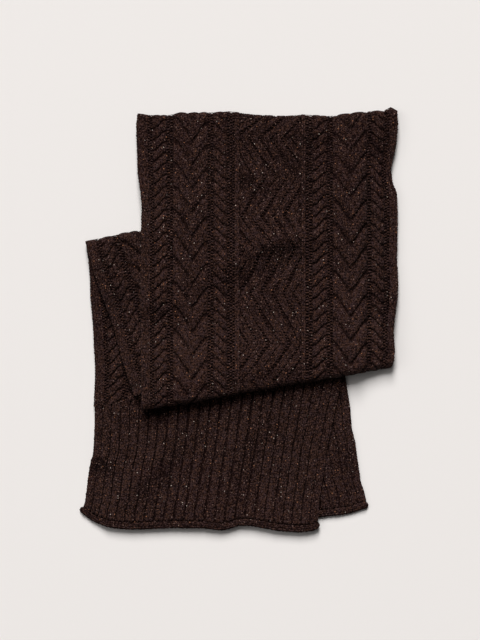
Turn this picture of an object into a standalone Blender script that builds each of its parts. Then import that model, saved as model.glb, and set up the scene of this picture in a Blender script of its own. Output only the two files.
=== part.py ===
"""A cable-knit wool scarf lying flat: folded in half, its two ends together, and then folded in three.

Metres, +Z up, standing for "away from the surface it lies on". X runs across the scarf and +Y along it,
towards the fold at its mid-length. The origin is under the middle of the folded scarf, on that surface.
From the top down, the cloth lies like this: the front stretch, round the bottom fold to the middle
stretch, round the top fold to the lower stretch, and out from under the bottom fold as two ribbed ends.
Each stretch is the scarf's two plies, one on the other.
"""

import math
from collections import namedtuple

import bmesh
import bpy
import numpy as np

MM = 0.001

# Driving sizes
CABLE_PLY = 4.2 * MM  # thickness of the cabled cloth
RIB_PLY = 4.0 * MM  # thickness of the ribbed cloth
HEM_THICK = 5.6 * MM  # a rolled hem, lying on its side
HEM_DEEP = 10.0 * MM
GAP = 0.3 * MM  # between two solids that meet
TUCK = 16.0 * MM  # how far the ribs reach in under the bottom fold
SAG_RUN = 30.0 * MM  # the run over which a layer comes down past the edge of the layers under it
SAG_START = 9.0 * MM  # and how far past that edge it starts to
RIB_SAG_RUN = 24.0 * MM  # the same, for the upper end past the left edge of the under end
RIB_SAG_START = 12.0 * MM

LIFT = 2 * CABLE_PLY + GAP  # the height of one stretch, both plies
RIB_LIFT = RIB_PLY + GAP
FOLD_RADIUS = (LIFT + 2 * CABLE_PLY) / 2  # outside a fold of one stretch over another
BRIM_RADIUS = CABLE_PLY  # outside the fold at mid-length, of one ply over the other
TIGHT = 0.5 * MM  # inside a fold with nothing in it

Row = namedtuple("Row", "along left_x left_y right_x right_y")

# The edges of each stretch, a row for each section along it, in mm.
FRONT_STRETCH = [
    Row(0.00, -118.0, 240.5, 182.5, 245.5),
    Row(0.06, -119.0, 219.5, 184.0, 226.0),
    Row(0.15, -118.0, 189.0, 180.5, 199.0),
    Row(0.23, -116.5, 161.5, 175.5, 176.0),
    Row(0.30, -113.0, 138.0, 179.0, 155.0),
    Row(0.40, -113.0, 103.5, 182.5, 125.5),
    Row(0.55, -113.0, 51.5, 182.5, 81.5),
    Row(0.66, -113.0, 13.5, 184.0, 48.5),
    Row(0.78, -113.0, -26.5, 180.0, 13.0),
    Row(0.90, -113.0, -68.0, 179.5, -22.0),
    Row(1.00, -112.5, -102.5, 178.5, -52.0),
]
MIDDLE_STRETCH = [
    Row(0.00, -120.0, -86.5, -107.0, -84.0),
    Row(0.14, -128.0, -67.0, -107.0, -67.0),
    Row(0.33, -139.5, -34.5, -107.0, -32.5),
    Row(0.52, -151.0, 0.0, -107.0, 2.0),
    Row(0.70, -162.5, 32.0, -107.0, 36.5),
    Row(0.85, -170.5, 57.5, -107.0, 69.0),
    Row(1.00, -174.5, 84.0, -107.0, 97.5),
]
LOWER_STRETCH = [
    Row(0.00, -174.5, 83.5, -107.0, 97.0),
    Row(0.27, -171.5, 36.5, -107.0, 48.0),
    Row(0.52, -168.0, -9.5, -107.0, 1.0),
    Row(0.77, -166.5, -55.5, -107.0, -46.0),
    Row(1.00, -167.5, -95.7, -107.0, -85.2),
]
UPPER_RIB = [
    Row(0.00, -167.5, -96.0, 123.0, -45.5),
    Row(0.25, -168.0, -128.5, 113.5, -95.5),
    Row(0.50, -173.0, -162.0, 103.5, -145.5),
    Row(0.75, -177.5, -196.0, 95.0, -195.5),
    Row(0.88, -183.0, -214.0, 92.0, -221.0),
    Row(1.00, -184.5, -231.3, 92.5, -244.8),
]
UNDER_RIB = [
    Row(0.00, -167.5, -96.0, 123.0, -45.5),
    Row(0.25, -160.0, -129.0, 128.0, -88.5),
    Row(0.50, -152.0, -163.5, 133.0, -131.0),
    Row(0.75, -143.0, -198.0, 139.0, -173.5),
    Row(0.90, -137.5, -219.5, 146.0, -199.0),
    Row(1.00, -135.0, -234.5, 148.5, -216.5),
]

Wave = namedtuple("Wave", "across out")

# How far the upper hem waves out past a straight line between its two corners, in mm.
UPPER_HEM_WAVE = [
    Wave(0.00, -5.0),
    Wave(0.06, 3.0),
    Wave(0.20, 10.0),
    Wave(0.40, 4.5),
    Wave(0.57, 6.0),
    Wave(0.67, -2.0),
    Wave(0.78, 0.0),
    Wave(0.92, 2.0),
    Wave(1.00, -3.0),
]

Line = namedtuple("Line", "x1 y1 x2 y2")

# The top fold, and the right edges of the stretches that the front stretch hides, in mm.
TOP_FOLD = Line(-175.5, 93.0, 119.5, 154.0)
MIDDLE_RIGHT = Line(119.5, 154.0, 178.0, -52.0)
LOWER_RIGHT = Line(119.5, 154.0, 123.0, -245.0)

# Sections through the front stretch's flat part, closer together where it comes down over the top fold.
FRONT_SECTIONS = [
    *(0.06, 0.10, 0.14, 0.18, 0.22, 0.26, 0.30, 0.34, 0.38, 0.42, 0.47),
    *(0.54, 0.62, 0.70, 0.78, 0.86, 0.92),
]
FRONT_COLUMNS = [0.10, 0.20, 0.30, 0.40, 0.50, 0.60, 0.67, 0.73, 0.79, 0.85, 0.91, 1.0]
RIM, RIM_OF_TWO, RIM_OF_THREE = 3, 7, 11  # points down the edge of one ply, of two and of three
UPPER_COLUMNS = 22  # sections across the upper end, enough to follow its wave
HEM_END = 0.012  # the share of a hem's length over which each of its ends closes

# Shares of the upper end's length: from where its hem's wave shows, and from where it rises on the under hem.
WAVE_START, WAVE_RUN = 0.75, 0.17
RISE_START, RISE_RUN = 0.67, 0.14


def clear_scene():
    for item in list(bpy.data.objects):
        bpy.data.objects.remove(item, do_unlink=True)


def wool(name, colour):
    """Matt dark wool for one stretch of the scarf."""
    material = bpy.data.materials.new(name)
    material.use_nodes = True
    shader = material.node_tree.nodes["Principled BSDF"]
    shader.inputs["Base Color"].default_value = (*colour, 1.0)
    shader.inputs["Roughness"].default_value = 0.95
    shader.inputs["Metallic"].default_value = 0.0
    return material


def edges_at(rows, along):
    """The left and right ends of the section at this share of a stretch's length, in metres."""
    shares = [row.along for row in rows]
    columns = list(zip(*rows))[1:]
    left_x, left_y, right_x, right_y = (np.interp(along, shares, column) * MM for column in columns)
    return np.array([left_x, left_y]), np.array([right_x, right_y])


def smooth_step(share):
    share = np.clip(share, 0.0, 1.0)
    return share * share * (3.0 - 2.0 * share)


def past(line, x, y):
    """How far (x, y) lies to the left of a line, seen along it from its first end to its second."""
    x1, y1, x2, y2 = (value * MM for value in line)
    return ((x2 - x1) * (y - y1) - (y2 - y1) * (x - x1)) / math.hypot(x2 - x1, y2 - y1)


def carried(x, y, right_edge):
    """1 over a stretch, and down to 0 past its top fold and its right edge, where the cloth on it sags."""
    above = smooth_step((past(TOP_FOLD, x, y) - SAG_START) / SAG_RUN)
    beside = smooth_step((past(right_edge, x, y) - SAG_START) / SAG_RUN)
    return (1.0 - above) * (1.0 - beside)


def middle_base(x, y):
    """The height of the middle stretch's underside."""
    return LIFT * carried(x, y, LOWER_RIGHT)


def front_base(x, y):
    """The height of the front stretch's underside."""
    return middle_base(x, y) + LIFT * carried(x, y, MIDDLE_RIGHT)


def rim(start, end, outward, ply, count):
    """Points down a cut edge from start to end: it bulges once for each ply."""
    height = np.linalg.norm(end - start)
    points = []
    for step in range(1, count + 1):
        depth = height * step / (count + 1)
        share = (depth / ply) % 1.0
        bulge = ply / 2 * math.sqrt(max(0.0, 1.0 - (2.0 * share - 1.0) ** 2))
        points.append(start + (end - start) * step / (count + 1) + outward * bulge)
    return points


def ring(outer, inner, ply, left_points, right_points):
    """A closed section: across the outer face, down the right edge, back across the inner, up the left."""
    across = outer[-1] - outer[0]
    across = np.array([across[0], across[1], 0.0])
    across = across / np.linalg.norm(across)
    right = rim(outer[-1], inner[-1], across, ply, right_points)
    left = rim(inner[0], outer[0], -across, ply, left_points)
    return [*outer, *right, *reversed(inner), *left]


def end_faces(loop, columns, right_points):
    """The faces that close a section's end: its two rims, and one for each column between them."""
    under = [2 * columns + right_points - 1 - column for column in range(columns)]
    if right_points:
        yield loop[columns - 1 : under[-1] + 1]
    for column in range(1, columns - 1):
        yield [loop[column], loop[column + 1], loop[under[column + 1]], loop[under[column]]]
    yield [*loop[:2], *loop[under[1] :]]


def lofted(name, rings, material, columns=0, right_points=0):
    """A closed solid through a row of closed sections, which all have as many points."""
    mesh = bmesh.new()
    loops = [[mesh.verts.new(point) for point in section] for section in rings]
    for near, far in zip(loops, loops[1:]):
        for index in range(len(near)):
            after = (index + 1) % len(near)
            mesh.faces.new((near[index], near[after], far[after], far[index]))
    for loop in (loops[0], loops[-1]):
        for face in end_faces(loop, columns, right_points) if columns else [loop]:
            mesh.faces.new(face)
    bmesh.ops.triangulate(mesh, faces=mesh.faces[:], ngon_method="EAR_CLIP")
    bmesh.ops.recalc_face_normals(mesh, faces=mesh.faces[:])
    data = bpy.data.meshes.new(name)
    mesh.to_mesh(data)
    mesh.free()
    data.materials.append(material)
    data.shade_smooth()
    data.set_sharp_from_angle(angle=math.radians(50))
    solid = bpy.data.objects.new(name, data)
    bpy.context.scene.collection.objects.link(solid)
    return solid


def across_section(left, right, columns, left_inset, right_inset):
    """(x, y) at each of these shares across a section, whose ends are set in where it has a rim."""
    width = np.linalg.norm(right - left)
    reach = width - left_inset - right_inset
    return [left + (right - left) * (left_inset + share * reach) / width for share in columns]


def front_places(along):
    """(x, y) at each column across the front stretch. The second is over the end of what it overhangs."""
    left, right = edges_at(FRONT_STRETCH, along)
    over_end = (LOWER_STRETCH[0].right_x * MM + GAP - left[0]) / (right[0] - left[0])
    return across_section(left, right, [0.0, over_end, *FRONT_COLUMNS], CABLE_PLY / 2, CABLE_PLY / 2)


def inside(places, outward, distance):
    """The same places this far in from a straight end of the stretch, with their x kept."""
    return [place - [0.0, distance / outward[1]] for place in places]


def raised(places, heights):
    return [np.array([place[0], place[1], height]) for place, height in zip(places, heights)]


def fold_turns(first, last, steps):
    """Angles round a fold, from the top of it at 0 to the underside at pi."""
    return [first + (last - first) * step / steps for step in range(steps + 1)]


def fold_section(centres, outward, heights, radius, turn):
    """Points at this angle round a fold, for a row of (x, y) on its axis and the axis's heights."""
    return [
        np.array([*(centre + outward * radius * math.sin(turn)), height + radius * math.cos(turn)])
        for centre, height in zip(centres, heights)
    ]


def square_to(rows, along, sign):
    """The direction in plan that points straight out of a stretch's end."""
    left, right = edges_at(rows, along)
    across = (right - left) / np.linalg.norm(right - left)
    return sign * np.array([-across[1], across[0]])


def front_sections():
    """The places across each section of the front stretch's flat part, and over the ends of what it hides."""
    fold_out = square_to(FRONT_STRETCH, 1.0, -1.0)
    return [
        *(front_places(along) for along in FRONT_SECTIONS),
        inside(front_places(1.0), fold_out, TUCK + GAP),
    ]


def front_stretch(material):
    """The cabled ply on top. It turns under at mid-length, and round the bottom fold at its other end."""
    brim_out = square_to(FRONT_STRETCH, 0.0, 1.0)
    fold_out = square_to(FRONT_STRETCH, 1.0, -1.0)
    brim = inside(front_places(0.0), brim_out, BRIM_RADIUS)
    fold = inside(front_places(1.0), fold_out, FOLD_RADIUS)
    brim_heights = [BRIM_RADIUS] * len(brim)
    fold_heights = [middle_base(*place) + FOLD_RADIUS for place in fold]
    brim_inside = inside(front_places(0.0), brim_out, TUCK)
    fold_inside = inside(front_places(1.0), fold_out, TUCK)

    under_top = raised(brim_inside, [BRIM_RADIUS - TIGHT] * len(brim))
    sections = [(raised(brim_inside, [0.0] * len(brim)), under_top)]
    for turn in fold_turns(math.pi, 0.0, 6):
        sections.append(
            (
                fold_section(brim, brim_out, brim_heights, BRIM_RADIUS, turn),
                fold_section(brim, brim_out, brim_heights, TIGHT, turn),
            )
        )
    for places in front_sections():
        under = np.array([front_base(*place) for place in places]) + CABLE_PLY
        sections.append((raised(places, under + CABLE_PLY), raised(places, under)))
    inner = FOLD_RADIUS - CABLE_PLY
    for turn in fold_turns(0.0, math.pi, 8):
        sections.append(
            (
                fold_section(fold, fold_out, fold_heights, FOLD_RADIUS, turn),
                fold_section(fold, fold_out, fold_heights, inner, turn),
            )
        )
    base = np.array([middle_base(*place) for place in fold_inside])
    sections.append((raised(fold_inside, base), raised(fold_inside, base + CABLE_PLY)))
    rings = [ring(outer, inner_side, CABLE_PLY, RIM, RIM) for outer, inner_side in sections]
    return lofted("front_stretch", rings, material, len(fold), RIM)


def hidden_ring(places, tops, bottoms, overhang_height):
    """A section through the hidden layers, whose top layer overhangs the rest at its left edge."""
    top = raised(places, tops)
    bottom = raised(places, bottoms)
    across = np.array([*(places[-1] - places[0]), 0.0])
    across = across / np.linalg.norm(across)
    overhang = raised(places[:2], [overhang_height] * 2)
    right = rim(top[-1], bottom[-1], across, CABLE_PLY, RIM_OF_THREE)
    left = rim(overhang[0], top[0], -across, CABLE_PLY, RIM)
    return [*top, *right, *reversed(bottom[1:]), overhang[1], overhang[0], *left]


def hidden_layers(material):
    """What the front stretch hides, as one solid. It is flat below, and rounded into the bottom fold."""
    fold_out = square_to(FRONT_STRETCH, 1.0, -1.0)
    brim_out = square_to(FRONT_STRETCH, 0.0, 1.0)
    fold = inside(front_places(1.0), fold_out, FOLD_RADIUS)
    flat = [inside(front_places(0.0), brim_out, TUCK + GAP), *front_sections()]
    rings = []
    for places in flat:
        base = np.array([front_base(*place) for place in places])
        bottoms = [0.0] * len(places)
        rings.append(hidden_ring(places, base + CABLE_PLY - GAP, bottoms, max(base[0], GAP)))
    for places in (flat[-1], fold):
        base = np.array([front_base(*place) for place in places])
        over_return = [middle_base(*place) + CABLE_PLY + GAP for place in places]
        rings.append(hidden_ring(places, base + CABLE_PLY - GAP, over_return, base[0]))
    radius = FOLD_RADIUS - CABLE_PLY - GAP
    heights = np.array([middle_base(*place) + FOLD_RADIUS for place in fold])
    for turn in fold_turns(math.pi / 2 - math.radians(70), math.pi / 2 - math.radians(25), 2):
        reach, half = radius * math.cos(turn), radius * math.sin(turn)
        places = [place + fold_out * reach for place in fold]
        rings.append(hidden_ring(places, heights + half, heights - half, heights[0]))
    return lofted("hidden_layers", rings, material, len(fold), RIM_OF_THREE)


def middle_stretch(material):
    """The doubled cloth turned back by the bottom fold, up to the top fold and round it to the surface."""
    columns = [0.0, 0.25, 0.5, 0.75, 1.0]

    def places(along):
        left, right = edges_at(MIDDLE_STRETCH, along)
        return across_section(left, right, columns, CABLE_PLY / 2, 0.0)

    sections = []
    for row in MIDDLE_STRETCH:
        at = places(row.along)
        sections.append((raised(at, [LIFT + 2 * CABLE_PLY] * len(at)), raised(at, [LIFT] * len(at))))
    fold_out = square_to(MIDDLE_STRETCH, 1.0, 1.0)
    centres = places(1.0)
    heights = [FOLD_RADIUS] * len(centres)
    for turn in fold_turns(math.radians(20), math.pi, 8):
        sections.append(
            (
                fold_section(centres, fold_out, heights, FOLD_RADIUS, turn),
                fold_section(centres, fold_out, heights, TIGHT, turn),
            )
        )
    rings = [ring(outer, inner, CABLE_PLY, RIM_OF_TWO, 0) for outer, inner in sections]
    return lofted("middle_stretch", rings, material, len(columns))


def lower_stretch(material):
    """The doubled cloth of the lower stretch, as far as it shows left of the front stretch."""
    rings = []
    for row in LOWER_STRETCH:
        left, right = edges_at(LOWER_STRETCH, row.along)
        places = across_section(left, right, [0.0, 0.3, 1.0], CABLE_PLY / 2, 0.0)
        top, bottom = raised(places, [2 * CABLE_PLY] * 3), raised(places, [0.0] * 3)
        rings.append(ring(top, bottom, CABLE_PLY, RIM_OF_TWO, 0))
    return lofted("lower_stretch", rings, material, 3)


def wave_out(across, along):
    """How far the upper end is drawn out at this place: all of the wave at the hem, and none a quarter in."""
    shares, outs = zip(*UPPER_HEM_WAVE)
    return np.interp(across, shares, outs) * MM * smooth_step((along - WAVE_START) / WAVE_RUN)


def upper_places(along, columns, inset):
    left, right = edges_at(UPPER_RIB, along)
    places = across_section(left, right, columns, inset, inset)
    return [place - [0.0, wave_out(share, along)] for place, share in zip(places, columns)]


def carried_by_under_end(x, along):
    """1 where the upper end lies on the under end, and down to 0 past its left edge."""
    under_left, _ = edges_at(UNDER_RIB, along)
    return 1.0 - smooth_step((under_left[0] - x - RIB_SAG_START) / RIB_SAG_RUN)


def upper_base(x, along):
    """The height of the upper end's underside: on the under end, over its hem, and down past its left edge."""
    over_hem = smooth_step((along - RISE_START) / RISE_RUN) * (HEM_THICK - RIB_PLY)
    return (RIB_LIFT + over_hem) * carried_by_under_end(x, along)


def upper_rib_end(material):
    """The ribbed end on top, from under the bottom fold to its hem."""
    columns = [index / UPPER_COLUMNS for index in range(UPPER_COLUMNS + 1)]
    rings = []
    for along in [0.0, 0.12, 0.25, 0.38, 0.50, 0.62, 0.72, 0.79, 0.86, 1.0]:
        places = upper_places(along, columns, RIB_PLY / 2)
        base = np.array([upper_base(place[0], along) for place in places])
        if along == 0.0:
            base = np.full(len(places), RIB_LIFT)
        if along == 1.0:
            places = inside(places, square_to(UPPER_RIB, 1.0, -1.0), HEM_DEEP + GAP)
        rings.append(ring(raised(places, base + RIB_PLY), raised(places, base), RIB_PLY, RIM, RIM))
    return lofted("upper_rib_end", rings, material, len(columns), RIM)


def under_rib_end(material):
    """The other ribbed end, flat on the surface."""
    columns = [0.0, 0.2, 0.4, 0.6, 0.8, 1.0]
    rings = []
    for along in [0.0, 0.25, 0.50, 0.75, 1.0]:
        left, right = edges_at(UNDER_RIB, along)
        places = across_section(left, right, columns, RIB_PLY / 2, RIB_PLY / 2)
        if along == 1.0:
            places = inside(places, square_to(UNDER_RIB, 1.0, -1.0), HEM_DEEP + GAP)
        rings.append(ring(raised(places, [RIB_PLY] * 6), raised(places, [0.0] * 6), RIB_PLY, RIM, RIM))
    return lofted("under_rib_end", rings, material, len(columns), RIM)


def hem(name, edge, heights, material):
    """A rolled hem: a tube along the cloth's edge, flattened above and below and smaller at its two ends."""
    sides, flattening, end_size = 12, 1.25, 0.45
    along = (edge[-1] - edge[0]) / np.linalg.norm(edge[-1] - edge[0])
    inward = np.array([0.0, 1.0 / along[0]])
    rings = []
    for index, (place, height) in enumerate(zip(edge, heights)):
        size = end_size if index in (0, len(edge) - 1) else 1.0
        centre = place + inward * HEM_DEEP / 2
        section = []
        for side in range(sides):
            turn = 2 * math.pi * (side + 0.5) / sides
            reach = size * HEM_DEEP / 2 * math.cos(turn)
            rise = size * HEM_THICK / 2 * max(-1.0, min(1.0, flattening * math.sin(turn)))
            section.append(np.array([*(centre + inward * reach), height + HEM_THICK / 2 + rise]))
        rings.append(section)
    return lofted(name, rings, material)


def upper_hem(material):
    inner_columns = [index / UPPER_COLUMNS for index in range(1, UPPER_COLUMNS)]
    columns = [0.0, HEM_END, *inner_columns, 1.0 - HEM_END, 1.0]
    edge = upper_places(1.0, columns, 0.0)
    heights = [RIB_LIFT * carried_by_under_end(place[0], 1.0) for place in edge]
    return hem("upper_hem", edge, heights, material)


def under_hem(material):
    columns = [0.0, HEM_END, 0.25, 0.5, 0.75, 1.0 - HEM_END, 1.0]
    left, right = edges_at(UNDER_RIB, 1.0)
    edge = across_section(left, right, columns, 0.0, 0.0)
    return hem("under_hem", edge, [0.0] * len(edge), material)


clear_scene()
BROWN = (0.030, 0.017, 0.014)
DARK_BROWN = (0.024, 0.014, 0.012)
front_stretch(wool("front stretch wool", BROWN))
middle_stretch(wool("middle stretch wool", BROWN))
lower_stretch(wool("lower stretch wool", BROWN))
hidden_layers(wool("hidden layers wool", DARK_BROWN))
upper_rib_end(wool("upper rib wool", BROWN))
under_rib_end(wool("under rib wool", BROWN))
upper_hem(wool("upper hem wool", BROWN))
under_hem(wool("under hem wool", BROWN))
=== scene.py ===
"""A cable-knit wool scarf, dark brown with pale flecks, folded in half and then in three, lying on a table.

Metres, +Z up. The scarf lies along Y, with its fold at mid-length at +Y and its two ribbed ends at -Y. Each
stretch of cloth is a thin wall with its stitches on it, and each knit stitch has two legs of yarn.
"""

import math
from collections import namedtuple
from itertools import accumulate

import bpy
import numpy as np
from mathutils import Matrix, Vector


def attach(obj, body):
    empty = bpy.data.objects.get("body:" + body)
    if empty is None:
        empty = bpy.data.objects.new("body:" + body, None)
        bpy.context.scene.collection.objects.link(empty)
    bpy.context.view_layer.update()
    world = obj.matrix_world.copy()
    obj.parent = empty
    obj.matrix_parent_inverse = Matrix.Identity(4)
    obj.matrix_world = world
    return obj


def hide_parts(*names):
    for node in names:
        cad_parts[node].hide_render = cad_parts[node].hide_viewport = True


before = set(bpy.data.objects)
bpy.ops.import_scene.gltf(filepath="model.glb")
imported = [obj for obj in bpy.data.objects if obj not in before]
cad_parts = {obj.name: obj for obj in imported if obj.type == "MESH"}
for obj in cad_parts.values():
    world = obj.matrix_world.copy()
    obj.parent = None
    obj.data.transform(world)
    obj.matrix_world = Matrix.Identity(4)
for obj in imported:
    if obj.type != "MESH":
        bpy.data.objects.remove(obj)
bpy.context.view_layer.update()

MM = 0.001

# ---------------------------------------------------------------------------------------------------------
# The table: a smooth matt surface in warm white, much larger than the scarf.

TABLE_SIDE = 9.0
TABLE_COLOUR = (0.80, 0.765, 0.742)


class Wire:
    """An output of a material's node. Arithmetic on it adds the Math nodes that work it out."""

    def __init__(self, material, socket):
        self.material, self.socket = material, socket

    def math(self, operation, *values):
        return self.material.node("ShaderNodeMath", {"operation": operation}, dict(enumerate(values)))

    def __add__(self, other):
        return self.math("ADD", self, other)

    def __sub__(self, other):
        return self.math("SUBTRACT", self, other)

    def __rsub__(self, other):
        return self.math("SUBTRACT", other, self)

    def __mul__(self, other):
        return self.math("MULTIPLY", self, other)

    def __lt__(self, other):
        return self.math("LESS_THAN", self, other)

    __radd__, __rmul__ = __add__, __mul__


class Finish:
    """A material: its Principled shader, and the nodes that feed it."""

    def __init__(self, name, **constants):
        self.material = bpy.data.materials.new(name)
        self.material.use_nodes = True
        self.shader = self.material.node_tree.nodes["Principled BSDF"]
        for socket, value in constants.items():
            self.shader.inputs[socket.replace("_", " ")].default_value = value

    def node(self, kind, settings, sockets, output=0):
        """Any node: its settings first, then the values or wires of its sockets. Returns one output."""
        node = self.material.node_tree.nodes.new(kind)
        for name, value in settings.items():
            setattr(node, name, value)
        for name, value in sockets.items():
            self.feed(node.inputs[name], value)
        return Wire(self, node.outputs[output])

    def feed(self, socket, value):
        if isinstance(value, Wire):
            self.material.node_tree.links.new(value.socket, socket)
        else:
            socket.default_value = value

    def mix(self, share, first, second):
        """A colour between two, by a share from 0 to 1."""
        settings = {"data_type": "RGBA"}
        return self.node("ShaderNodeMix", settings, {0: share, 6: first, 7: second}, output=2)


def opaque(colour):
    return (*colour, 1.0)


table_finish = Finish("table", Roughness=0.75, Specular_IOR_Level=0.2, Base_Color=opaque(TABLE_COLOUR))
bpy.ops.mesh.primitive_plane_add(size=TABLE_SIDE, location=(0.0, 0.0, -0.2 * MM))
table = bpy.context.object
table.name = "table"
table.data.materials.append(table_finish.material)

# ---------------------------------------------------------------------------------------------------------
# The front stretch: one ply of cabled cloth, knitted flat in aran-weight wool. It turns under at the scarf's
# mid-length, drapes over the edges of the layers that it covers, and rolls round the bottom fold.

CABLE_PLY = 4.2 * MM
GAP = 0.3 * MM
LIFT = 2 * CABLE_PLY + GAP
FOLD_RADIUS = (LIFT + 2 * CABLE_PLY) / 2
BRIM_RADIUS = 5.7 * MM
SAG_START, SAG_RUN = 9.0 * MM, 30.0 * MM
LOOSE_FROM, LOOSE_RUN = 150.0 * MM, 60.0 * MM  # where the cloth starts to rise to its fold at mid-length
ROW = 3.34 * MM  # the height of one row of stitches

Band = namedtuple("Band", "kind wide stitches lean start", defaults=(0, 0))

# The bands of the cabled cloth from its left edge to its right: their widths in mm, and the row in which a
# cable's first crossing is. A cable leans to the right (1) or to the left (-1) as it goes up.
CABLED_CLOTH = [
    Band("plain", 11.5, 3),
    Band("purl", 4.9, 2),
    Band("rope", 15.8, 4, 1, 3.1),
    Band("purl", 6.8, 2),
    Band("plait", 20.2, 6, -1, 4.5),
    Band("plait", 20.2, 6, 1, 7.3),
    Band("purl", 6.5, 2),
    Band("rope", 16.3, 4, -1, 2.0),
    Band("purl", 8.8, 3),
    Band("plain", 5.2, 1),
    Band("zigzag", 72.4, 18),
    Band("plain", 4.6, 1),
    Band("purl", 8.0, 2),
    Band("rope", 17.1, 4, 1, 3.4),
    Band("purl", 6.6, 2),
    Band("plait", 20.4, 6, -1, 1.7),
    Band("plait", 20.4, 6, 1, 2.3),
    Band("purl", 4.6, 1),
    Band("rope", 14.9, 4, -1, 1.6),
    Band("purl", 5.7, 2),
    Band("plain", 9.1, 2),
]
CLOTH_WIDE = sum(band.wide for band in CABLED_CLOTH) * MM

Edge = namedtuple("Edge", "y x")

# The front stretch's left and right edges as they lie, from the top down, in mm.
FRONT_LEFT = [
    Edge(240.5, -117), Edge(229.9, -118.6), Edge(188.5, -117.4), Edge(174.7, -117.2), Edge(160.9, -115.4),
    Edge(147.1, -113.3), Edge(133.3, -112), Edge(103.5, -112.6), Edge(20, -113.2), Edge(-102.5, -112),
]
FRONT_RIGHT = [
    Edge(236.8, 182), Edge(229.9, 183), Edge(216.1, 181.7), Edge(202.3, 180.2), Edge(188.5, 177),
    Edge(174.7, 174.6), Edge(160.9, 176.3), Edge(147.1, 181.6), Edge(119.5, 182.2), Edge(91.9, 182.1),
    Edge(71.2, 181.4), Edge(50.5, 183), Edge(29.8, 182.6), Edge(9.1, 179.5), Edge(-11.6, 177.2),
    Edge(-32.3, 179), Edge(-46.1, 177.5), Edge(-56, 174),
]

Wave = namedtuple("Wave", "x out")

# How far the fold at mid-length waves out past a straight line between its corners, in mm. The cloth below
# it takes that up over this run.
WAVE_FROM, WAVE_RUN = 165.0 * MM, 70.0 * MM
BRIM_WAVE = [
    Wave(-118, -0.5), Wave(-104, -3), Wave(-82, -3.5), Wave(-68, -1.2), Wave(-27, -1.2), Wave(-13, 0),
    Wave(22, -4.6), Wave(49, -6.3), Wave(70, -5.2), Wave(104, -7.6), Wave(132, -4.6), Wave(153, -2.6),
    Wave(166, -2.4), Wave(174, 1.6), Wave(181, -2.5),
]

Line = namedtuple("Line", "x1 y1 x2 y2")

# In mm: the folds' outermost lines, and the edges of what the front stretch hides.
BRIM = Line(-118, 240.5, 182.5, 245.5)
BOTTOM_FOLD = Line(178.5, -52, -112.5, -102.5)
TOP_FOLD = Line(-175.5, 93, 119.5, 154)
MIDDLE_RIGHT = Line(119.5, 154, 178, -52)
LOWER_RIGHT = Line(119.5, 154, 123, -245)

Dent = namedtuple("Dent", "x y across along turn depth")

# Soft hollows and swells pressed into the cloth, in mm and degrees.
FRONT_DENTS = [
    Dent(52, 93, 32, 10.5, 10, 6),
    Dent(56, 64, 38, 12, 8, -3.4),
    Dent(-10, 66, 26, 11, 28, 3.6),
    Dent(-2, 36, 28, 13, 26, -2),
    Dent(-82, 25, 26, 11, -8, 2.4),
    Dent(-84, -6, 26, 12, -8, -1.6),
    Dent(-50, -80, 70, 26, 10, 3),
    Dent(7, 166, 17, 8, 0, 1.8),
    Dent(8, 146, 17, 9, 0, -1.2),
    Dent(30, 228, 130, 18, 1, 1.6),
    Dent(75, 222, 40, 12, 0, 2.6),
    Dent(150, 190, 24, 12, -12, -1.2),
]

# Where its yarn is painted darker (-) or lighter (+), by the place across the cloth and up from its start:
# painted shade and light that stand for the shading of its creases, its slopes and the roll of the bottom
# fold.
FRONT_PAINTED_LIGHT_AND_SHADE = [
    # painted shadow in the crease across the middle of the front stretch
    Dent(158, -160, 34, 10, 10, -0.8),
    Dent(150, -186, 20, 8, 10, -0.40),
    Dent(113, -192, 24, 9, 30, -0.65),
    Dent(124, -84, 18, 10, 0, -0.45),
    Dent(186, -36, 30, 16, 0, -0.40),
    Dent(190, -70, 44, 30, 0, -0.30),
    Dent(138, -92, 26, 16, 0, -0.25),
    Dent(58, -130, 15, 110, 0, -0.30),
    Dent(70, -108, 16, 9, 0, -0.45),
    Dent(242, -110, 15, 120, 0, -0.30),
    Dent(277, -38, 14, 12, 0, -0.60),
    Dent(268, -80, 10, 24, 0, 0.30),
    Dent(30, -188, 20, 12, 0, 0.45),
    Dent(60, -204, 16, 9, -8, -0.40),
    Dent(14, -233, 30, 9, 0, -0.90),
    Dent(103, -142, 16, 12, 0, 0.35),
    Dent(104, -252, 34, 18, 0, 0.30),
    Dent(45, -272, 40, 16, 8, 0.35),
    Dent(264, -258, 12, 22, 0, 0.45),
    Dent(282, -220, 13, 15, 0, -1),
    Dent(244, -212, 20, 14, 0, 0.35),
    # painted shade of the bottom fold's roll, along the fold
    Dent(122, -309, 140, 6, 9.5, -0.60),
    Dent(170, -264, 220, 36, 8, 0.25),
]


def smooth_step(share):
    share = np.clip(share, 0.0, 1.0)
    return share * share * (3.0 - 2.0 * share)


def past(line, x, y):
    """How far (x, y) lies to the left of a line, seen along it from its first end to its second."""
    x1, y1, x2, y2 = (value * MM for value in line)
    return ((x2 - x1) * (y - y1) - (y2 - y1) * (x - x1)) / math.hypot(x2 - x1, y2 - y1)


def out_of(line):
    """The direction in plan that points to the left of a line."""
    length = math.hypot(line.x2 - line.x1, line.y2 - line.y1)
    return -(line.y2 - line.y1) / length, (line.x2 - line.x1) / length


def carried(x, y, right_edge):
    """1 over a stretch, down to 0 at mid-length and past its right edge, where the cloth on it sags."""
    above = np.maximum(past(TOP_FOLD, x, y) + FOLD_RADIUS, 0.0)
    below = np.maximum(-past(BRIM, x, y) - BRIM_RADIUS, 0.1 * MM)
    above = smooth_step(above / (above + below))
    beside = smooth_step((past(right_edge, x, y) - SAG_START) / SAG_RUN)
    return (1.0 - above) * (1.0 - beside)


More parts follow.
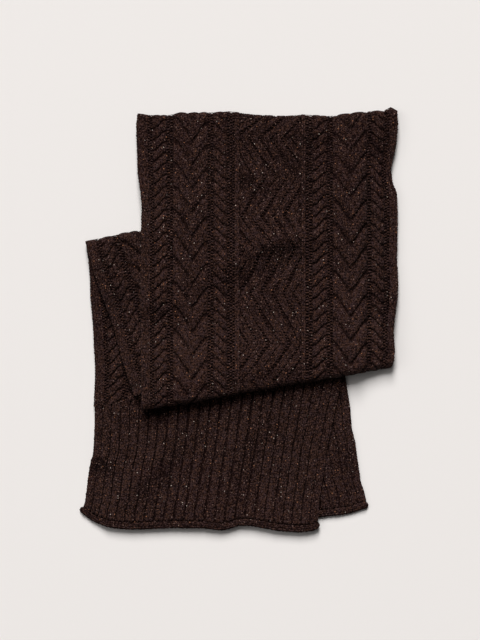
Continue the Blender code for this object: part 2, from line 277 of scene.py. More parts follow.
def dented(x, y, dents):
    total = np.zeros(np.shape(x))
    for dent in dents:
        turn = math.radians(dent.turn)
        right, up = x - dent.x * MM, y - dent.y * MM
        across = (right * math.cos(turn) + up * math.sin(turn)) / (dent.across * MM)
        along = (up * math.cos(turn) - right * math.sin(turn)) / (dent.along * MM)
        total = total + dent.depth * MM * np.exp(-(across**2) - along**2)
    return total


def front_base(x, y):
    """The height of what the front stretch lies on."""
    return LIFT * (carried(x, y, LOWER_RIGHT) + carried(x, y, MIDDLE_RIGHT))


def front_top(x, y):
    """The height of the front stretch's upper face, which rises a little to its loose fold at mid-length."""
    loose = 2 * (BRIM_RADIUS - CABLE_PLY) * smooth_step((y - LOOSE_FROM) / LOOSE_RUN)
    return front_base(x, y) + 2 * CABLE_PLY + loose + dented(x, y, FRONT_DENTS)


def front_under_top(x, y):
    """The height of its under ply's upper face."""
    return np.minimum(front_base(x, y) + CABLE_PLY, front_top(x, y) - CABLE_PLY)


def edge_x(edges, y):
    """An edge's x at these heights along the scarf."""
    edge_y, x = np.array(edges).T * MM
    return np.interp(-y, -edge_y, x)


def laid(height, x, y, lift):
    """A point at this lift over cloth whose face has this height, square to the face."""
    step = 1.0 * MM
    slope_x = (height(x + step, y) - height(x - step, y)) / (2 * step)
    slope_y = (height(x, y + step) - height(x, y - step)) / (2 * step)
    steep = np.sqrt(1.0 + slope_x**2 + slope_y**2)
    rise = lift / steep
    return np.stack([x - slope_x * rise, y - slope_y * rise, height(x, y) + rise], -1)


def rolled_under(points, fold, lift, x, y, height):
    """Takes what lies past a fold's line round the fold: over it, down its front and back below."""
    line, radius = fold
    out_x, out_y = out_of(line)
    beyond = past(line, x, y) + radius
    start_x, start_y = x - out_x * beyond, y - out_y * beyond
    centre = height(start_x, start_y) - radius
    turn = np.clip(beyond / radius, 0.0, math.pi)
    back = np.maximum(beyond - math.pi * radius, 0.0)
    reach = (radius + lift) * np.sin(turn) - back
    above = (radius + lift) * np.cos(turn)
    bent = np.stack([start_x + out_x * reach, start_y + out_y * reach, centre + above], -1)
    return np.where((beyond > 0)[..., None], bent, points)


def edge_rolled(across, lift, wide, ply):
    """(across, lift) with what lies past either edge of a cloth rolled round that edge."""
    radius = ply / 2
    left, right = radius - across, across - (wide - radius)
    turn = np.clip(np.maximum(left, right) / radius, 0.0, math.pi)
    side = np.where(left > right, -1.0, 1.0)
    flat = np.clip(across, radius, wide - radius)
    rolled = turn > 0
    across = np.where(rolled, flat + side * (radius + lift) * np.sin(turn), across)
    return across, np.where(rolled, (radius + lift) * np.cos(turn) - radius, lift)


DEEPEST = -3.2 * MM  # the wall's upper face, and all the stitches, are above this
PRESSED_TO, PRESSED_BY = -0.4 * MM, 0.55  # the level a fold's bend presses stitches to, and by what share


def lying(spread, height, wide, folds=(), ply=CABLE_PLY):
    """How a cloth lies: takes places in it (across, down, lift) to points. The surface below holds it up."""

    def cloth_at(across, down, lift):
        across, lift = edge_rolled(across, lift, wide, ply)
        x, y = spread(across, down)
        for line, radius in folds:
            pressed = smooth_step((past(line, x, y) + radius) / radius) * (lift > DEEPEST)
            lift = lift + (PRESSED_TO - lift) * PRESSED_BY * pressed
        points = laid(height, x, y, lift)
        for fold in folds:
            points = rolled_under(points, fold, lift, x, y, height)
        points[..., 2] = np.maximum(points[..., 2], 0.0)
        return points

    return cloth_at


def front_spread(across, down):
    """Where the front stretch's places lie in plan: straight down it, and out to its two wavy edges."""
    share = across / CLOTH_WIDE
    y = (BRIM.y1 + (BRIM.y2 - BRIM.y1) * share) * MM - down
    left, right, fade = -114.2 * MM, 181.0 * MM, 45.0 * MM
    near_left = np.clip(1.0 - across / fade, 0.0, 1.2) ** 2
    near_right = np.clip(1.0 - (CLOTH_WIDE - across) / fade, 0.0, 1.2) ** 2
    x = left + (right - left) * share
    x = x + (edge_x(FRONT_LEFT, y) - left) * near_left + (edge_x(FRONT_RIGHT, y) - right) * near_right
    return x, y


def front_laid(top, *folds):
    """How a ply of the front stretch lies, with its upper face at this height."""
    ply_at = lying(front_spread, top, CLOTH_WIDE, folds)

    def cloth_at(across, down, lift):
        points = ply_at(across, down, lift)
        wave_x, wave_out = np.array(BRIM_WAVE).T * MM
        out = np.interp(points[..., 0], wave_x, wave_out)
        points[..., 1] += out * smooth_step((points[..., 1] - WAVE_FROM) / WAVE_RUN)
        return points

    return cloth_at


# A leg of yarn: the stations along it, how wide and how high it is at each, and its arched section.
STATIONS = np.linspace(-1.0, 1.0, 4)
TAPER = np.array([0.30, 0.97, 0.97, 0.30])
SWELL = np.array([0.0, 0.94, 0.94, 0.0])
ARCH_ACROSS = np.array([-1.0, -0.55, 0.55, 1.0])
ARCH_HIGH = np.array([0.0, 0.85, 0.85, 0.0])


class Knitting:
    """One piece's stitches and walls as they are added: grids of points, by their places in the cloth."""

    def __init__(self, seed):
        self.chance = np.random.default_rng(seed)
        self.grids = []

    def add(self, across, down, lift, shade, closed=False, wall=0.0):
        """Grids of cloth or yarn: arrays of (grid, station along it, place across it)."""
        values = [np.broadcast_to(value, across.shape) for value in (across, down, lift, shade, wall)]
        self.grids.append((values, closed))

    def yarn(self, across, down, lift, half_wide, high, shade):
        """Legs of yarn along these rows of stations (leg, station), each an arch over the cloth."""
        across, down, lift = np.broadcast_arrays(across, down, lift)
        along_x, along_y = np.gradient(across, axis=1), np.gradient(down, axis=1)
        length = np.hypot(along_x, along_y)
        half = (half_wide * TAPER / length)[..., None] * ARCH_ACROSS
        self.add(
            across[..., None] + along_y[..., None] * half,
            down[..., None] - along_x[..., None] * half,
            lift[..., None] + (high * SWELL)[:, None] * ARCH_HIGH,
            shade[:, None, None],
        )


WALL_SHADE, CORE_SHADE = 0.3, 0.25  # how light the yarn of the cloth beneath the stitches is

# The last rows before mid-length are painted a little darker, then some rows go over to the rest: painted
# shade, which also offsets the light on the cloth's rise to its fold.
PAINTED_DARKER_BY = 0.30
DARK_ROWS, MIXED_ROWS = 17.0, 17.0


def yarn_of(rows, chance):
    """How light the yarn of each of these rows' stitches is."""
    return chance.random(len(rows)) - PAINTED_DARKER_BY * (1.0 - smooth_step((rows - DARK_ROWS) / MIXED_ROWS))


LEG_REACH = 0.78  # from a stitch's middle to its leg's end, in rows
LEG_OUT, LEG_LEAN = 0.25, 0.13  # a leg's place beside its stitch's middle, and how far out it leans upward
LEG_HALF, LEG_HIGH = 0.29, 0.95 * MM  # half a leg's width, in stitches, and its height
LEG_TILT = 0.25 * MM  # how far its upper end is raised and its lower end sunk
STRAY = 0.05  # how far stitches are out of place, in stitches and in rows
EVERYWHERE = -math.inf, math.inf


def knit_wales(knitting, place, columns, wide, rows, bounds=EVERYWHERE, uneven=0.08 * MM):
    """Columns of knit stitches, two legs to each. place gives (across, lift) for a row, a column and the row
    of the stitch's middle. Legs outside the bounds are left out, and the rest stand up unevenly."""
    held = rows[:, None]
    for column in columns:
        for side in (-1.0, 1.0):
            row = held + LEG_REACH * STATIONS
            across, lift = place(row, column + side * wide * (LEG_OUT - LEG_LEAN * STATIONS), held)
            loose = knitting.chance.normal(0.0, 1.0, (3, len(rows), 1))
            across = across + STRAY * wide * loose[0]
            down = (row + STRAY * loose[1]) * ROW
            lift = lift - LEG_TILT * STATIONS + uneven * loose[2]
            middle = across.mean(1)
            keep = (middle > bounds[0]) & (middle < bounds[1])
            shade = yarn_of(rows, knitting.chance)[keep]
            knitting.yarn(across[keep], down[keep], lift[keep], LEG_HALF * wide, LEG_HIGH, shade)


PURL_LEVEL, PURL_SHADE = -0.75 * MM, 0.25  # of the bars between the raised bands
BAR_REACH, BAR_BOW = 0.60, 0.25  # half a bar's length, in stitches, and how far its ends go down, in rows
BAR_HALF, BAR_HIGH = 0.29 * ROW, 1.2 * MM


def purl_bars(knitting, left, wide, stitches, rows):
    """Columns of purl stitches: one bowed bar of yarn across each, deep between the raised bands."""
    each = wide / stitches
    for stitch in range(stitches):
        loose = knitting.chance.normal(0.0, 0.07, (2, len(rows), 1))
        across = left + each * (stitch + 0.5 + BAR_REACH * STATIONS + loose[0])
        down = (rows[:, None] + 0.5 * (stitch % 2) + BAR_BOW * STATIONS**2 + loose[1]) * ROW
        shade = yarn_of(rows, knitting.chance) + PURL_SHADE
        knitting.yarn(across, down, PURL_LEVEL, BAR_HALF, BAR_HIGH, shade)


CORE_UNDER = 0.3 * MM  # how far the body of a raised band lies under the feet of its stitches


def core(knitting, across, lift, rows, bounds=EVERYWHERE):
    """The body of a raised band under its stitches, from arrays of (row, place across it)."""
    across = np.clip(across, *bounds)
    down = np.broadcast_to((rows * ROW)[:, None], across.shape)
    knitting.add(across[None], down[None], lift[None] - CORE_UNDER, CORE_SHADE)


def dome(share):
    """A round profile: 1 in the middle and falling to 0 at -1 and 1."""
    return np.sqrt(np.clip(1.0 - share**2, 0.0, 1.0))


# A cable is two strands that cross every few rows, its period, and only the one on top shows: a round
# pad from one side of the cable to the other, whose ends go under its neighbours. Its edges fall by the
# slope, in periods, and are bowed by the swell. Its stitches travel by the sweep, in widths of the cable.
# Its pad starts at the low level and is that high, and is bare of stitches for some rows at its ends.
Cable = namedtuple("Cable", "period slope sweep swell low high bare")
CABLES = {
    "rope": Cable(4.0, 0.85, 0.9, 0.10, -2.7 * MM, 3.3 * MM, 0.70),
    "plait": Cable(8.2, 0.80, 1.1, 0.075, -3.0 * MM, 4.5 * MM, 1.05),
}
LAPPED = 0.11  # how far half a plait reaches over the other half, in its widths
GROUND = -3.0 * MM  # of the wall under the stitches

# The rows in which the centre panel's lines turn, and how far they have swung to the right, in mm.
Turn = namedtuple("Turn", "row swing")
ZIGZAG = [
    Turn(0, 30), Turn(8.5, 0), Turn(23.5, 31), Turn(36.5, 3), Turn(48, 30), Turn(63, 2), Turn(80.5, 36),
    Turn(93, 4), Turn(105, 30), Turn(120, 2),
]
LINE_PITCH = 12.4 * MM
LINE_HALF, LINE_STITCH = 0.40 * LINE_PITCH, 0.36 * LINE_PITCH
LINE_LOW, LINE_HIGH = -2.1 * MM, 1.1 * MM  # the level of a line's sides, and its usual height over them
PANEL_MARGIN = 0.6 * MM  # between the lines and the panel's sides
PURL_BETWEEN = -1.55 * MM  # the level of the purl bars between the lines


def knit_cable(knitting, band, left, rows):
    """A rope, or one half of a plait, whose strands end on top of the other half's."""
    cable = CABLES[band.kind]
    wide = band.wide * MM
    middle, stitch_wide = left + wide / 2, wide / band.stitches
    lap = cable.slope * cable.sweep
    inner = -band.lean if band.kind == "plait" else 0  # the side on which the plait's other half is
    reach = 0.5 + LAPPED * (inner < 0), 0.5 + LAPPED * (inner > 0)
    bare = cable.bare / cable.period

    def crossing(row, out):
        return (row - band.start) / cable.period + band.lean * cable.slope * out

    def bend(out):
        """A strand's edge is flat at its ends, and in a plait more so at its outer one."""
        bow = cable.swell * np.sin(2 * math.pi * out) + 0.3 * inner * (out**2 - 0.25)
        return band.lean * cable.slope * bow

    def height(share, out):
        share = np.clip(share, 0.0, 1.0)
        pad = np.sin(math.pi / 2 * np.clip(share / 0.45, 0.0, 1.0)) ** 0.8 * np.sqrt(1.0 - share**6)
        ridge = band.lean * (0.5 - share) * 0.75
        side = dome((out - ridge) / 0.95) * dome((out / (np.where(out > 0, reach[1], reach[0]) + 0.01)) ** 2)
        return cable.low + cable.high * pad * side

    def share_of(row, column, number):
        """How far down its strand a stitch is: 0 where it comes out from under the last one, 1 at its end."""
        share = 0.5
        for _ in range(4):
            out = np.clip(column - band.lean * (share - 0.5) * cable.sweep, -0.7, 0.7)
            share = (crossing(row, column) + bend(out) + lap / 2 - number) / (1.0 + lap)
        return share

    for behind in range(math.ceil(1.0 + lap)):

        def place(row, column, held):
            column = column / wide
            number = np.floor(crossing(held, np.mean(column)) + lap / 2) - behind
            held_share = share_of(held, np.mean(column), number)
            shown = (held_share > 1.12 * bare) & (held_share < 1.0 - 0.85 * bare)
            share = share_of(row, column, number)
            out = column - band.lean * (share - 0.5) * cable.sweep
            return np.where(shown, middle + out * wide, np.nan), height(share, out)

        spare = math.ceil((cable.sweep / 2 + LAPPED) * band.stitches)
        columns = (np.arange(-spare, band.stitches + spare) + 0.5) * stitch_wide - wide / 2
        bounds = middle - reach[0] * wide + 0.2 * MM, middle + reach[1] * wide - 0.2 * MM
        knit_wales(knitting, place, columns, stitch_wide, rows, bounds)
    out = np.linspace(-reach[0], reach[1], 10)
    stations = np.arange(rows[0], rows[-1] + 1.0, 1.0 / 3.0)
    share = (crossing(stations[:, None], out) + bend(out)) % 1.0
    across = np.broadcast_to(middle + out * wide, share.shape)
    core(knitting, across, height(share, out), stations)


def knit_zigzag(knitting, band, left, rows):
    """The centre panel: raised lines of two stitches, side by side, that travel to one side and back."""
    bounds = left + PANEL_MARGIN, left + band.wide * MM - PANEL_MARGIN
    turn_rows, swings = np.array(ZIGZAG).T
    stations = np.arange(rows[0], rows[-1] + 1.0, 0.5)
    for line in range(-3, 7):
        start = left + (line + 0.4) * LINE_PITCH
        bend = knitting.chance.random(3) * 2 * math.pi

        def place(row, column, held):
            wander = 1.1 * MM * np.sin(row / 4.1 + bend[0]) + 0.8 * MM * np.sin(row / 1.7 + bend[1])
            height = 1.0 + 0.45 * np.sin(row / 3.3 + bend[2])
            return (
                start + np.interp(row, turn_rows, swings * MM) + wander + column,
                LINE_LOW + LINE_HIGH * height * dome(column / (1.04 * LINE_HALF)),
            )

        columns = LINE_STITCH * np.array([-0.5, 0.5])
        knit_wales(knitting, place, columns, LINE_STITCH, rows, bounds, uneven=0.22 * MM)
        across, lift = place(stations[:, None], np.linspace(-LINE_HALF, LINE_HALF, 7), None)
        core(knitting, across, lift, stations, bounds)
        across, _ = place(rows[:, None], LINE_PITCH / 2 + 1.9 * MM * STATIONS, None)
        shown = (across[:, 0] > bounds[0]) & (across[:, -1] < bounds[1])
        down = (rows[:, None] + BAR_BOW * STATIONS**2)[shown] * ROW
        shade = yarn_of(rows, knitting.chance)[shown]
        knitting.yarn(across[shown], down, PURL_BETWEEN, 0.26 * ROW, 0.9 * MM, shade)


PLAIN_LEVEL, PLAIN_CROWN = -1.4 * MM, 1.4 * MM


def knit_plain(knitting, left, wide, stitches, rows):
    """Knit stitches side by side, as at the cloth's edges."""
    middle, stitch_wide = left + wide / 2, wide / stitches

    def place(row, column, held):
        return middle + column, PLAIN_LEVEL + PLAIN_CROWN * dome((column / (0.53 * wide)) ** 2)

    columns = (np.arange(stitches) + 0.5) * stitch_wide - wide / 2
    knit_wales(knitting, place, columns, stitch_wide, rows)


def knit_band(knitting, band, left, rows):
    """All the stitches of one band of the cloth, over these rows."""
    if band.kind == "purl":
        purl_bars(knitting, left, band.wide * MM, band.stitches, rows)
    elif band.kind == "plain":
        knit_plain(knitting, left, band.wide * MM, band.stitches, rows)
    elif band.kind == "zigzag":
        knit_zigzag(knitting, band, left, rows)
    else:
        knit_cable(knitting, band, left, rows)


def faces_of_grids(shape, first, closed):
    """Quads over grids of (grid, station, place across), which are closed in a ring across or not."""
    numbers = first + np.arange(np.prod(shape)).reshape(shape)
    if closed:
        numbers = np.concatenate([numbers, numbers[..., :1]], -1)
    a, b = numbers[:, :-1, :-1], numbers[:, :-1, 1:]
    c, d = numbers[:, 1:, 1:], numbers[:, 1:, :-1]
    return np.stack([a, b, c, d], -1).reshape(-1, 4)


def end_faces(shape, first):
    """The faces that close the two ends of a wall, one for each column of it."""
    numbers = first + np.arange(np.prod(shape)).reshape(shape)
    half = shape[-1] // 2
    for end in (numbers[0, 0], numbers[0, -1][::-1]):
        yield np.stack([end[1:half], end[: half - 1], end[half + 1 :][::-1], end[half:-1][::-1]], -1)


def knitted(name, knitting, cloth_at, finish, layout, kept=None, tones_and_painted_shade=()):
    """One object from all that a knitting holds, laid where its cloth lies, without what isn't kept."""
    places, faces, first = [], [], 0
    for values, closed in knitting.grids:
        places.append(np.stack([value.ravel() for value in values]))
        faces.append(faces_of_grids(values[0].shape, first, closed))
        if closed:
            faces += end_faces(values[0].shape, first)
        first += values[0].size
    across, down, lift, shade, wall = np.concatenate(places, 1)
    # the tables add tone and painted shade and light to the yarn's lightness
    shade = shade + dented(across, -down, tones_and_painted_shade) / MM
    faces = np.concatenate(faces)
    points = cloth_at(across, down, lift)
    if kept is not None:
        middle = points[faces].mean(1)
        faces = faces[kept(middle[:, 0], middle[:, 1])]
        used, numbers = np.unique(faces, return_inverse=True)
        faces = numbers.reshape(-1, 4)
        kept_values = (points, across, down, lift, shade, wall)
        points, across, down, lift, shade, wall = (value[used] for value in kept_values)
    mesh = bpy.data.meshes.new(name)
    mesh.vertices.add(len(points))
    mesh.vertices.foreach_set("co", points.astype(np.float32).ravel())
    mesh.loops.add(faces.size)
    mesh.loops.foreach_set("vertex_index", faces.ravel().astype(np.int32))
    mesh.polygons.add(len(faces))
    mesh.polygons.foreach_set("loop_start", np.arange(0, faces.size, 4, dtype=np.int32))
    mesh.polygons.foreach_set("use_smooth", np.ones(len(faces), bool))
    mesh.update(calc_edges=True)
    left, right, top, bottom = layout
    flat = np.stack([(across - left) / (right - left), (down - top) / (bottom - top)], -1)
    chart = mesh.uv_layers.new(name="OFBake")
    chart.data.foreach_set("uv", np.clip(flat, 0.001, 0.999)[faces.ravel()].astype(np.float32).ravel())
    # How high the yarn lies, for the painted shade that darkens it deep between the stitches
    raised = np.clip((lift - FULL_SHADE_BELOW) / (NO_SHADE_ABOVE - FULL_SHADE_BELOW), 0.0, 1.0)
    # The yarn's lightness holds its tone together with its painted shade and light
    for attribute, values in (("yarn_tone_and_painted_shade", shade), ("raised", raised)):
        mesh.attributes.new(attribute, "FLOAT", "POINT").data.foreach_set("value", values.astype(np.float32))
    stitch = np.stack([across / STITCH, down / ROW, wall], -1).astype(np.float32)
    mesh.attributes.new("stitch", "FLOAT_VECTOR", "POINT").data.foreach_set("vector", stitch.ravel())
    mesh.materials.append(finish.material)
    piece = bpy.data.objects.new(name, mesh)
    bpy.context.scene.collection.objects.link(piece)
    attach(piece, "root")
    return piece


# Flecks spun into the yarn: cells per metre, a fleck's radius in cells, the share of cells that hold one, and
# its colour.
Fleck = namedtuple("Fleck", "cells radius share colour")
FLECKS = [
    Fleck(470.0, 0.27, 0.29, (0.079, 0.040, 0.033)),
    Fleck(360.0, 0.22, 0.15, (0.150, 0.092, 0.075)),
    Fleck(300.0, 0.18, 0.09, (0.260, 0.110, 0.055)),
    Fleck(230.0, 0.12, 0.14, (0.42, 0.35, 0.30)),
]
DARK_FIBRE = (0.0042, 0.0006, 0.0003)
GREY_FIBRE = (0.0412, 0.0218, 0.0212)
RUST_FIBRE = (0.0492, 0.0220, 0.0144)
STITCH = 4.3 * MM  # the width of one knit stitch
FULL_SHADE_BELOW, NO_SHADE_ABOVE = -2.4 * MM, 0.2 * MM  # the levels between which the wool's painted shade goes from full to none


def wool(name):
    """Heathered dark brown wool, flecked with cream and rust, matt, and painted darker deep between its
    stitches as painted shade.
    """
    finish = Finish(name, Roughness=0.95, Specular_IOR_Level=0.06, Sheen_Weight=0.015, Sheen_Roughness=0.6)
    place = finish.node("ShaderNodeTexCoord", {}, {}, "Object")
    heather = finish.node("ShaderNodeTexNoise", {}, {"Vector": place, "Detail": 2.0, "Scale": 680.0})
    shade = finish.node("ShaderNodeAttribute", {"attribute_name": "yarn_tone_and_painted_shade"}, {}, "Fac")
    raised = finish.node("ShaderNodeAttribute", {"attribute_name": "raised"}, {}, "Fac")
    tint = finish.node("ShaderNodeTexNoise", {}, {"Vector": place, "Detail": 1.0, "Scale": 320.0})
    # Painted shade: the lower the yarn lies (raised), the darker it is painted
    light = (heather * 6.2 + shade * 0.45 - 2.91) * (raised * 0.85 + 0.35)
    bright = finish.mix(tint * 4.0 - 1.5, opaque(GREY_FIBRE), opaque(RUST_FIBRE))
    colour = finish.mix(light, opaque(DARK_FIBRE), bright)
    for fleck in FLECKS:
        cells = {"Vector": place, "Scale": fleck.cells}
        distance = finish.node("ShaderNodeTexVoronoi", {}, cells, "Distance")
        chance = finish.node("ShaderNodeTexVoronoi", {}, cells, "Color")
        chance = finish.node("ShaderNodeSeparateColor", {}, {0: chance})
        colour = finish.mix((distance < fleck.radius) * (chance < fleck.share), colour, opaque(fleck.colour))
    finish.feed(finish.shader.inputs["Base Color"], colour)
    stitch = finish.node("ShaderNodeAttribute", {"attribute_name": "stitch"}, {}, "Vector")
    across, down, wall = (finish.node("ShaderNodeSeparateXYZ", {}, {0: stitch}, axis) for axis in "XYZ")
    side = across.math("FRACT", across) - 0.5
    side = side.math("ABSOLUTE", side)
    leg = side.math("PINGPONG", down + side, 0.5)
    fibres = finish.node("ShaderNodeTexNoise", {}, {"Vector": place, "Detail": 3.0, "Scale": 1500.0})
    height = fibres * 0.4 + leg * wall * 2.5 - side * wall
    bump = finish.node("ShaderNodeBump", {}, {"Strength": 0.5, "Distance": 0.6 * MM, "Height": height})
    finish.feed(finish.shader.inputs["Normal"], bump)
    return finish


cable_wool = wool("cable_wool")

# The wall is higher along the cloth's edges, for this far, and goes down over this run.
EDGE_LEVEL, EDGE_FAR, EDGE_RUN = -1.0 * MM, 7.0 * MM, 4.0 * MM
MARGIN = 4.3 * MM  # how far a wall's chart reaches past its edges


def cloth_wall(name, cloth_at, wide, down, columns, free, finish, ply=CABLE_PLY):
    """The wall under the stitches, rolled round its left and its right edge where that is free (1, not 0)."""
    rolled = (math.pi - 1.0) / 2 * ply  # the cloth that goes round an edge
    wide = np.broadcast_to(wide, down.shape[0])[:, None]
    share = np.linspace(0.0, 1.0, columns)
    across = (wide + rolled * (free[0] + free[1])) * share - rolled * free[0]
    inside = np.minimum(np.where(free[0], across, 1.0), np.where(free[1], wide - across, 1.0))
    top = EDGE_LEVEL + (GROUND - EDGE_LEVEL) * smooth_step((inside - EDGE_FAR) / EDGE_RUN)
    bottom = np.where(inside < ply / 2, top - 0.5 * MM * smooth_step(inside / (2.0 * MM)), 0.2 * MM - ply)
    layout = -MARGIN, wide.max() + MARGIN, down.min(), down.max()
    down = np.broadcast_to(down, top.shape)
    across, down = (np.concatenate([place, place[:, ::-1]], 1)[None] for place in (across, down))
    lift = np.concatenate([top, bottom[:, ::-1]], 1)[None]
    wall = Knitting(seed=0)
    wall.add(across, down, lift, WALL_SHADE, closed=True, wall=1.0)
    return knitted(name, wall, cloth_at, finish, layout)


FRONT_ROWS = np.arange(-4.0, 103.0)
BAND_STARTS = list(accumulate((band.wide * MM for band in CABLED_CLOTH), initial=0.0))


def knit_bands(knitting, first, last, rows):
    """The stitches of some of the cabled cloth's bands, and the area they take up in the cloth."""
    for band, left in list(zip(CABLED_CLOTH, BAND_STARTS))[first:last]:
        knit_band(knitting, band, left, rows)
    return BAND_STARTS[first], BAND_STARTS[last], rows[0] * ROW, rows[-1] * ROW


front_cloth_at = front_laid(front_top, (BOTTOM_FOLD, FOLD_RADIUS), (BRIM, BRIM_RADIUS))
groups = {"front_left_cables": (0, 9), "front_centre_panel": (9, 12), "front_right_cables": (12, 21)}
for name, (first, last) in groups.items():
    knitting = Knitting(seed=first)
    layout = knit_bands(knitting, first, last, FRONT_ROWS)
    knitted(name, knitting, front_cloth_at, cable_wool, layout, tones_and_painted_shade=FRONT_PAINTED_LIGHT_AND_SHADE)

down = np.arange(-9.0, 104.5, 0.75)[:, None] * ROW
front_cloth = cloth_wall(
    "front_cloth", front_cloth_at, CLOTH_WIDE, down, 90, (1, 1), cable_wool
)
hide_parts("front_stretch")

# ---------------------------------------------------------------------------------------------------------
# The middle stretch: the cloth that the bottom fold turns back. It shows as a wedge left of the front
# stretch, two plies thick, and rolls over the top fold down to the table.

MIDDLE_TOP = LIFT + 2 * CABLE_PLY
MIDDLE_LEFT = Line(-174.5, 84, -120, -86.5)
FRONT_COVERS = -108.0 * MM  # where the front stretch hides what lies under it

MIDDLE_DENTS = [
    Dent(-123, 74, 7, 5, 10, -1.3),
    Dent(-150, 62, 14, 9, 20, -0.6),
    Dent(-160, 68, 20, 12, 0, 1.6),
    Dent(-135, 44, 18, 11, 0, 2.6),
    Dent(-137, 14, 16, 13, 5, -2.2),
    Dent(-122, -78, 6, 5, 10, -3),
]


def level(height, dents=()):
    """A flat face at this height, with its dents."""
    return lambda x, y: height + dented(x, y, dents)


def middle_spread(across, down):
    """Where the middle stretch's places lie in plan: its columns of stitches run along its left edge."""
    down_x, down_y = MIDDLE_LEFT.x2 - MIDDLE_LEFT.x1, MIDDLE_LEFT.y2 - MIDDLE_LEFT.y1
    length = math.hypot(down_x, down_y)
    down_x, down_y = down_x / length, down_y / length
    wave = 1.0 * MM * np.sin(down / (19.0 * MM)) * np.exp(-across / (12.0 * MM))
    across = across - wave
    return (
        MIDDLE_LEFT.x1 * MM + down_x * down - down_y * across,
        MIDDLE_LEFT.y1 * MM + down_y * down + down_x * across,
    )


def covered_wide(spread, down):
    """How wide a stretch is at these places down it, from its left edge to just inside what covers it."""
    x, _ = spread(0.0, down)
    x_inside, _ = spread(10.0 * MM, down)
    return np.maximum((FRONT_COVERS - x) / (x_inside - x) * 10.0 * MM, 2.0 * CABLE_PLY)


SHOWN_BANDS, EDGE_BAND = 5, 1  # how many of the cabled cloth's bands show, and the first, which is its edge


def doubled(name, spread, top, dents, folds, rows, wall_down, seed, kept):
    """Both plies of a stretch: the upper one's stitches and wall, and those of the under one's edge."""
    pieces, wide = [], covered_wide(spread, wall_down)
    for depth, bands, stitches, wall in (
        (0.0, SHOWN_BANDS, "_cables", "_cloth"), (CABLE_PLY, EDGE_BAND, "_under_ply_edge", "_under_ply")
    ):
        round_folds = [(line, radius - depth) for line, radius in folds]
        cloth_at = lying(spread, level(top - depth, dents), 1.0, round_folds)
        knitting = Knitting(seed)
        layout = knit_bands(knitting, 0, bands, rows)
        pieces.append(knitted(name + stitches, knitting, cloth_at, cable_wool, layout, kept))
        pieces.append(
            cloth_wall(name + wall, cloth_at, wide, wall_down[:, None], 30, (1, 0), cable_wool)
        )
    return pieces


def middle_shows(x, y):
    return (x < FRONT_COVERS) & (past(BOTTOM_FOLD, x, y) < -8.0 * MM)


middle_cables, middle_cloth, *middle_under = doubled(
    "middle", middle_spread, MIDDLE_TOP, MIDDLE_DENTS, [(TOP_FOLD, FOLD_RADIUS)],
    rows=np.arange(-4.5, 53.0), wall_down=np.arange(-9.5, 53.0, 0.5) * ROW, seed=20, kept=middle_shows,
)
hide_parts("middle_stretch")

# ---------------------------------------------------------------------------------------------------------
# The lower stretch: the next length of the cloth, two plies thick and flat on the table. Only a sliver of it
# shows, left of the wedge.

LOWER_LEFT = [
    Edge(91.9, -175.8), Edge(71.2, -173.7), Edge(50.5, -171.8), Edge(29.8, -171.5), Edge(9.1, -169.3),
    Edge(-11.6, -167.7), Edge(-32.3, -167), Edge(-46.1, -165.9), Edge(-59.9, -165.8), Edge(-73.7, -166.4),
    Edge(-97, -167.4),
]
RIBS_START = Line(123, -45.5, -167.5, -96)
LOWER_START, LOWER_SLANT = 87.0 * MM, 0.08  # where its left edge starts, and how its rows rise


def lower_spread(across, down):
    y = LOWER_START - down + LOWER_SLANT * across
    return edge_x(LOWER_LEFT, y) + across, y


def lower_shows(x, y):
    from_wedge, from_ribs = past(MIDDLE_LEFT, x, y), past(RIBS_START, x, y)
    return (x < FRONT_COVERS) & (from_wedge < 8.0 * MM) & (from_ribs < 1.0 * MM)


lower_cables, lower_cloth, *lower_under = doubled(
    "lower", lower_spread, 2 * CABLE_PLY, [], [],
    rows=np.arange(0.0, 57.0), wall_down=np.arange(0.0, 55.0, 0.5) * ROW, seed=30, kept=lower_shows,
)
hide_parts("lower_stretch")

# ---------------------------------------------------------------------------------------------------------
# The upper ribbed end: two knit stitches and two purl all across, so that it pulls in to raised ribs with
# dark valleys between. It lies on the under end, and sags to the table past that end's left edge.

RIB_PLY = 4.0 * MM
RIB_LIFT = RIB_PLY + GAP
HEM_THICK, HEM_DEEP = 5.6 * MM, 9.0 * MM
RIB_WIDE = 280.0 * MM
RIB_LONG = 200.0 * MM
RIBS = 25
RIB_PITCH = RIB_WIDE / RIBS
DROP_START, DROP_RUN = 12.0 * MM, 24.0 * MM  # past the under end's left edge, where it sags to the table
RISE_START, RISE_RUN = 18.0 * MM, 22.0 * MM  # up from its hem, where it comes down off the under hem

UPPER_RIB_LEFT = [
    Edge(-60, -167), Edge(-94.4, -167.2), Edge(-122, -167.2), Edge(-149.6, -168.5), Edge(-163.4, -172.6),
    Edge(-177.2, -174.5), Edge(-191, -176.3), Edge(-204.8, -177.9), Edge(-211.7, -180.2),
    Edge(-222, -182.6),
]
UPPER_RIB_RIGHT = [
    Edge(-45.5, 124), Edge(-66.8, 118.8), Edge(-109.4, 109.6), Edge(-123.2, 107.2), Edge(-147.3, 101.6),
    Edge(-163.4, 100), Edge(-188.7, 95.9), Edge(-201.4, 93.6), Edge(-212.9, 92.2), Edge(-233.6, 91.2),
]
UNDER_RIB_LEFT = [
    Edge(-96, -167), Edge(-129, -160), Edge(-163.5, -152), Edge(-198, -143), Edge(-234.5, -135),
]
UNDER_RIB_RIGHT = [
    Edge(-45.5, 121), Edge(-64.5, 123.4), Edge(-86.4, 127), Edge(-99, 129), Edge(-122, 130.3),
    Edge(-138.1, 134.5), Edge(-163.4, 137.8), Edge(-183, 140.6), Edge(-194.5, 144.8), Edge(-206, 147.4),
    Edge(-216.5, 147.8),
]

